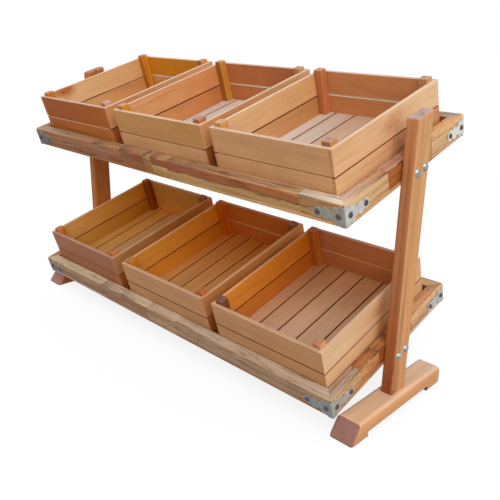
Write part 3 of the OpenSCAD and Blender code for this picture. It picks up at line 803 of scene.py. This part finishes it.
# A rail is glued up from two rows of staves, jointed end to end. Each length of it has its right
# end, the tones of its upper and lower row on the face, its tone on top and the seam's height
RAILS = {
    ("upper", "front"): (
        (-230, "hazel", "walnut", "dove", 24), (-122, "hazel", "walnut", "fawn", 24),
        (-36, "auburn", "walnut", "fawn", 27), (-8, "fawn", "olive", "fawn", 35),
        (44, "brick", "straw", "fawn", 27), (404, "auburn", "straw", "fawn", 24),
        (500, "tan", "straw", "chalk", 24)),
    ("lower", "front"): (
        (-230, "pecan", "bark", "cream", 26), (-146, "drift", "walnut", "oat", 26),
        (-42, "walnut", "pecan", "cream", 26), (60, "drift", "drift", "oat", 24),
        (500, "drift", "fawn", "oat", 24)),
    ("upper", "right"): (
        # The dark lengths from -73 to 30, by the post, are partly dark stain and partly the post's
        # painted shadow
        (-73, "sand", "sand", "ash", 24), (-20, "chestnut", "chestnut", "rose", 24),
        (30, "brick", "brick", "rose", 24), (75, "wheat", "wheat", "wheat", 24),
        (200, "sand", "sand", "pale", 24)),
    ("lower", "right"): (
        (-108, "sand", "wheat", "oat", 24), (-48, "peach", "coral", "hazel", 24),
        (2, "brick", "brick", "hazel", 24), (70, "coral", "coral", "coral", 24),
        (200, "pale", "wheat", "clay", 24)),
    ("upper", "left"): ((20, "hazel", "tan", "dove", 25), (200, "russet", "tan", "fawn", 25)),
    ("lower", "left"): ((-30, "drift", "pecan", "cream", 25), (200, "sienna", "tan", "fawn", 25)),
    ("upper", "back"): (
        (-210, "sienna", "tan", "dove", 23), (-60, "hazel", "tan", "cream", 23),
        (80, "hazel", "buff", "cream", 23), (340, "coral", "buff", "fawn", 23),
        (500, "cocoa", "buff", "cream", 23)),
    ("lower", "back"): (
        (-260, "hazel", "buff", "stone", 25), (30, "sienna", "buff", "fawn", 25),
        (120, "tan", "buff", "stone", 25), (300, "tan", "taupe", "stone", 25),
        (500, "sienna", "taupe", "fawn", 25)),
}
# A rail's face gets darker towards its lower edge, so its lower row is lightened by this much
BELOW = {("upper", "front"): 1.4, ("lower", "front"): 1.35}
BELOW_ELSEWHERE = 1.2
# A stave whose tone changes towards its right end: that end's tones on the face and on top
CHANGING = {("upper", "front", -230): ("hazel", "fawn"),
            ("upper", "front", 404): ("copper", "stone"),
            ("upper", "right", -73): ("sand", "clay"),
            ("lower", "front", -230): ("drift", "cream")}
# How dark the seam between a rail's two rows is
SEAM_SHOWN = {"front": 1.0, "right": 0.3, "back": 0.3, "left": 0.3}
# Joints whose fingers show on top
FINGERED = {("lower", "front", -42), ("upper", "back", 80), ("lower", "back", 30)}
FINGERS, FINGER_REACH = 6, 4.0
# A base board's frame, whose edge shows below the rails: each length's right end and tone
EDGES = {
    ("upper", "front"): ((-36, "walnut"), (50, "olive"), (300, "straw"), (500, "wheat")),
    ("lower", "front"): ((-230, "dove"), (-50, "pecan"), (60, "pecan"), (500, "pecan")),
    ("upper", "right"): ((-69, "wheat"), (75, "taupe"), (200, "clay")),
    ("lower", "right"): ((-85, "wheat"), (55, "taupe"), (200, "ash")),
}
PLAIN_EDGE = ((0, "tan"), (500, "wheat"))
PANEL_BOARDS = 4
# How a rail's own frame (X along it, Y inward from its outer face) turns into the tray's: the
# angle, where its middle comes to be, and the rail's length
TURNS = {"front": (0, 0.0, 0.0, TRAY_W), "right": (90, TRAY_W / 2, TRAY_D / 2, TRAY_D),
         "back": (180, 0.0, TRAY_D, TRAY_W), "left": (-90, -TRAY_W / 2, TRAY_D / 2, TRAY_D)}
# Each rail's axis, and the planes of its outer and inner face: an axis and where it is cut
ALONG = {"front": X, "right": Y, "back": X, "left": Y}
OUTER = {"front": (Y, 0.0), "back": (Y, TRAY_D), "left": (X, -TRAY_W / 2), "right": (X, TRAY_W / 2)}
INNER = {"front": (Y, RAIL_T), "back": (Y, TRAY_D - RAIL_T), "left": (X, RAIL_T - TRAY_W / 2),
         "right": (X, TRAY_W / 2 - RAIL_T)}
OUTER_EDGE_R, INNER_EDGE_R, BOTTOM_EDGE_R, PANEL_EDGE_R = 2.4, 1.6, 1.6, 0.4


def lies_on(plane, a, b):
    """Whether an edge with these two ends lies on that plane."""
    k, v = plane
    return abs(a[k] - v) < 1 and abs(b[k] - v) < 1


def mitre(half, depth):
    """The end of a rail's outline, from its outer face round the corner to its inner face."""
    cut = CORNER_R * (1 - math.sqrt(0.5))
    return [(half - CORNER_R, 0), (half - cut, cut), (half - depth, depth)]


def joint(x, depth, fingered):
    """A joint's line across a rail, from its outer to its inner face."""
    if not fingered:
        return [(x, 0), (x, depth)]
    return [(x, 0), *((x + FINGER_REACH * (-1) ** k, depth * k / FINGERS)
                      for k in range(1, FINGERS)), (x, depth)]


def stave_outline(start, stop, half, depth, fingered=(False, False)):
    """A stave seen from above, in its rail's own frame, with a mitre where the rail ends."""
    if start <= -half:
        left = [(-x, y) for x, y in mitre(half, depth)]
    else:
        left = joint(start, depth, fingered[0])
    right = mitre(half, depth) if stop >= half else joint(stop, depth, fingered[1])
    return left[::-1] + right


def turned(outline, place):
    """An outline taken from a rail's own frame to the tray's."""
    angle, x, y, _ = TURNS[place]
    c, s = round(math.cos(math.radians(angle))), round(math.sin(math.radians(angle)))
    return [(x + c * px - s * py, y + s * px + c * py) for px, py in outline]


def rail(tier, place):
    """A rail of staves, with its two upper edges rounded."""
    half = TURNS[place][3] / 2
    made = Piece(f"{tier}_{place}_rail_wood", tray_matrix(tier), segments=4)

    def radius(a, b):
        if min(a.z, b.z) > TRAY_H - 0.1:
            if lies_on(OUTER[place], a, b):
                return OUTER_EDGE_R
            if lies_on(INNER[place], a, b):
                return INNER_EDGE_R
        return 0.0

    # One far start for all of a rail's staves, so that its seam runs on over the joints
    seam_start = -made.rng.uniform(2000, 9000)
    start, was_fingered = -half, False
    for stop, upper, lower, top, seam_z in RAILS[tier, place]:
        fingered = (tier, place, stop) in FINGERED
        shade = made.rng.uniform(0.95, 1.05)
        look = {"main": tone(upper, 1.03 * shade), "+z": tone(top, 1.05 * shade),
                "below": tone(lower, BELOW.get((tier, place), BELOW_ELSEWHERE) * shade)}
        if (tier, place, stop) in CHANGING:
            face, above = CHANGING[tier, place, stop]
            look["far"] = {**look, "main": tone(face), "+z": tone(above)}
        outline = stave_outline(start, stop, half, RAIL_T, (was_fingered, fingered))
        made.prism(turned(outline, place), BASE_T, TRAY_H, Z, ALONG[place], look, radius=radius,
                   mark=((seam_start, seam_start, seam_z), SEAM_SHOWN[place]))
        start, was_fingered = stop, fingered
    made.make(MATERIALS["rail_wood"], "stand", "rail_wood", f"{tier}_{place}_rail")


def base_board(tier):
    """A thin panel of boards inside a mitred frame whose edge shows below the rails."""
    made = Piece(f"{tier}_base_board_wood", tray_matrix(tier), segments=3)
    for place in TURNS:
        half = TURNS[place][3] / 2

        def radius(a, b, plane=OUTER[place]):
            return BOTTOM_EDGE_R if max(a.z, b.z) < 0.1 and lies_on(plane, a, b) else 0.0

        start = -half
        for stop, name in EDGES.get((tier, place), PLAIN_EDGE):
            outline = stave_outline(start, stop, half, RAIL_T)
            made.prism(turned(outline, place), 0, BASE_T, Z, ALONG[place],
                       {"main": tone(name)}, radius=radius)
            start = stop
    width = (TRAY_D - 2 * RAIL_T) / PANEL_BOARDS
    for k in range(PANEL_BOARDS):
        shade = made.rng.uniform(0.9, 1.06)
        made.box((RAIL_T - TRAY_W / 2, RAIL_T + k * width, 0),
                 (TRAY_W / 2 - RAIL_T, RAIL_T + (k + 1) * width, BASE_T), X,
                 {"main": tone("tan", shade)}, radius=PANEL_EDGE_R)
    made.make(MATERIALS["base_wood"], "stand", "base_wood", f"{tier}_base_board")


for tier in SHARES:
    base_board(tier)
    for place in TURNS:
        rail(tier, place)

# POSTS AND FEET


def post(side, name):
    """A side post, cut at the top to the slope of the trays."""
    top = LOWER_Z + TIER_RISE - POST_SHIFT * math.tan(TILT) + POST_RISE
    top += LEFT_EXTRA if side < 0 else 0
    made = Piece(f"{name}_post_wood", STAND_MATRIX, segments=6)
    x0 = side * (TRAY_W / 2 + POST_T / 2) - POST_T / 2
    y0 = -POST_SHIFT - POST_W / 2
    slope = math.tan(TILT) * POST_W / 2
    verts = [(x, y, z) for z in (0, 1) for x, y in ((x0, y0), (x0 + POST_T, y0),
             (x0 + POST_T, y0 + POST_W), (x0, y0 + POST_W))]
    ends = [(x, y, top + (slope if y > y0 else -slope) if z else FOOT_H) for x, y, z in verts]
    faces = [[0, 3, 2, 1], [4, 5, 6, 7], [0, 1, 5, 4], [1, 2, 6, 5], [2, 3, 7, 6], [3, 0, 4, 7]]

    def radius(a, b):
        if abs(a.z - b.z) > 2 * POST_W:
            return POST_R
        return POST_TOP_R if min(a.z, b.z) > FOOT_H + 1 else POST_FOOT_R

    # On the right post the front is painted darker and the right side lighter: painted shade and
    # painted light. Both faces are also lighter towards the top
    look = {"main": tone("coral"), "+x": mix(tone("wheat", 1.03), tone("coral"), 0.35),
            "-y": mix(tone("auburn"), tone("brick"), 0.4), "end": tone("mauve"), "wear": 0.0}
    if side < 0:
        look.update({"+x": tone("chestnut", 1.2), "-y": tone("chestnut", 1.2),
                     "end": tone("rose", 0.8)})
    else:
        look["far"] = {**look, "+x": tone("wheat", 1.04),
                       "-y": mix(tone("sienna"), tone("taupe"), 0.5)}
    # Darker, redder patches just above the foot
    mark = ((x0 + POST_T, y0 + 8, FOOT_H + 10), 0.45)
    made.solid(ends, faces, Z, look, radius=radius, pith=(30, -14), mark=mark)
    made.make(MATERIALS["post_wood"], "stand", "post_wood", f"{name}_post")


def foot(side, name):
    """A foot on two pads, with its front end sloped outwards."""
    made = Piece(f"{name}_foot_wood", STAND_MATRIX, segments=6)
    x = side * (TRAY_W / 2 + POST_T / 2)
    y = -POST_SHIFT
    front, back = y - FOOT_FRONT, y + FOOT_BACK
    outline = [(front, 0), (front + PAD_LEN, 0), (front + PAD_LEN, ARCH_H),
               (back - PAD_LEN, ARCH_H), (back - PAD_LEN, 0), (back, 0), (back, FOOT_H),
               (front + FOOT_LEAN, FOOT_H)]

    def radius(a, b):
        if abs(a.x - b.x) < 1:  # an edge along one of the foot's sides
            if min(a.z, b.z) > FOOT_H - 1:
                return FOOT_EDGE_R
            if max(a.z, b.z) < 1:
                return FOOT_BOTTOM_R
            if min(a.y, b.y) < front + FOOT_LEAN + 1 and abs(a.z - b.z) > FOOT_H - 1:
                return FOOT_FRONT_SIDE_R
            if min(a.y, b.y) > back - 1:
                return FOOT_BACK_SIDE_R
            return ARCH_SIDE_R
        if a.y > back - 1:
            return FOOT_BACK_R if a.z < 1 else FOOT_BACK_TOP_R
        if abs(a.y - front) < 1:
            return FOOT_TOE_R
        if a.z > FOOT_H - 1:
            return FOOT_FRONT_TOP_R
        return PAD_R if a.z > 1 else PAD_BOTTOM_R

    # Painted light and shade: the top is pale, palest towards the back, and the underside and the
    # lower back edges are dark
    look = {"main": mix(tone("wheat"), tone("coral"), 0.5), "+z": tone("milk"),
            "-z": tone("umber"), "end": tone("wine"), "wear": 0.05}
    if side < 0:
        look.update({"main": tone("sienna"), "+x": tone("brick"), "-y": tone("wine", 1.3)})
    look["far"] = {**look, "+z": mix(tone("milk"), tone("chalk"), 0.3),
                   "down": (tone("plum"), 0.7)}
    made.prism(outline, x - FOOT_W / 2, x + FOOT_W / 2, X, Y, look, radius=radius, pith=(8, 60))
    made.make(MATERIALS["foot_wood"], "stand", "foot_wood", f"{name}_foot")


for side, name in ((-1, "left"), (1, "right")):
    post(side, name)
    foot(side, name)

# KEPT CAD NODES

KEPT = {"galvanised": ("upper_corner_plates", "lower_corner_plates"),
        "dark_screw": ("upper_plate_screws", "lower_plate_screws"),
        "zinc": ("carriage_bolts", "bolt_washers", "bolt_nuts", "coach_screws", "coach_washers"),
        "dowel_wood": ("foot_dowels",)}
for slot, names in KEPT.items():
    for name in names:
        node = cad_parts[name]
        if not node.material_slots:
            node.data.materials.append(MATERIALS[slot])
        for holder in node.material_slots:
            holder.material = MATERIALS[slot]

# STUDIO

# Strengths: the sky's on the object and as it is seen, how far the ground's paper shows its own
# glow, that glow's, and the sun's
SKY_LIT, SKY_SEEN, GLOW_SHARE, GLOW, SUN = 0.56, 1.0, 0.65, 1.27, 1.88


def background(n, seen, lit):
    """A value that is seen for the camera and reflections, and lit for what lights the object."""
    rays = n.add("ShaderNodeLightPath").outputs
    total = n.plus(rays["Is Camera Ray"], rays["Is Glossy Ray"], clamp=True)
    total = n.plus(total, rays["Is Transmission Ray"], clamp=True)
    share = n.add("ShaderNodeMapRange", {"Value": total, "To Min": lit, "To Max": seen})
    return share.outputs["Result"]


world = Nodes(bpy.data.worlds.new("studio"))
sky = world.add("ShaderNodeBackground", {"Color": (1, 1, 1, 1),
                                         "Strength": background(world, SKY_SEEN, SKY_LIT)})
world.add("ShaderNodeOutputWorld", {"Surface": sky.outputs["Background"]})
bpy.context.scene.world = world.owner

SPAN = 40.0  # of the ground, in metres to each side
ground = bpy.data.meshes.new("ground")
ground.from_pydata([(-SPAN, -SPAN, 0), (SPAN, -SPAN, 0), (SPAN, SPAN, 0), (-SPAN, SPAN, 0)], [],
                   [[0, 1, 2, 3]])
ground_object = placed("ground", ground)
ground_object.location.z = -0.0003  # clear of the feet's lower faces

paper = Nodes(bpy.data.materials.new("paper"))
diffuse = paper.add("ShaderNodeBsdfDiffuse", {"Color": (0.60, 0.62, 0.66, 1)})
glow = paper.add("ShaderNodeEmission", {"Color": (1, 1, 1, 1), "Strength": GLOW})
shown = background(paper, GLOW_SHARE, 0.0)
both = paper.add("ShaderNodeMixShader", {0: shown, 1: diffuse.outputs[0], 2: glow.outputs[0]})
paper.add("ShaderNodeOutputMaterial", {"Surface": both.outputs[0]})
ground.materials.append(paper.owner)

sun = bpy.data.lights.new("key", "SUN")
sun.energy = SUN
sun.angle = math.radians(50)
sun.color = (1.0, 0.985, 0.96)
sun_object = placed("key", sun)
TO_SUN = Vector((0.65, -0.47, 0.60))
sun_object.rotation_euler = TO_SUN.to_track_quat("Z", "Y").to_euler()

# CAMERA

# Where the photograph was taken from, how the camera was turned, and its lens in pixels of a
# frame of FRAME_PX
EYE = Vector((1.0477, -0.9653, 0.7070))
YAW, PITCH, ROLL = 0.731, -0.318, 0.032
FOCAL, CENTRE_X, CENTRE_Y, FRAME_PX = 612.8, 276.6, 234.1, 500.0

forward = Vector((-math.sin(YAW) * math.cos(PITCH), math.cos(YAW) * math.cos(PITCH),
                  math.sin(PITCH)))
right = Vector((math.cos(YAW), math.sin(YAW), 0))
up = right.cross(forward)
right, up = (right * math.cos(ROLL) + up * math.sin(ROLL),
             up * math.cos(ROLL) - right * math.sin(ROLL))
camera_data = bpy.data.cameras.new("camera")
camera_data.lens = FOCAL / FRAME_PX * camera_data.sensor_width
camera_data.shift_x = (FRAME_PX / 2 - CENTRE_X) / FRAME_PX
camera_data.shift_y = (CENTRE_Y - FRAME_PX / 2) / FRAME_PX
camera = placed("camera", camera_data)
turn = Matrix((right, up, -forward)).transposed().to_4x4()
camera.matrix_world = Matrix.Translation(EYE) @ turn
bpy.context.scene.camera = camera

bpy.context.scene.view_settings.view_transform = "Standard"

bpy.context.view_layer.update()
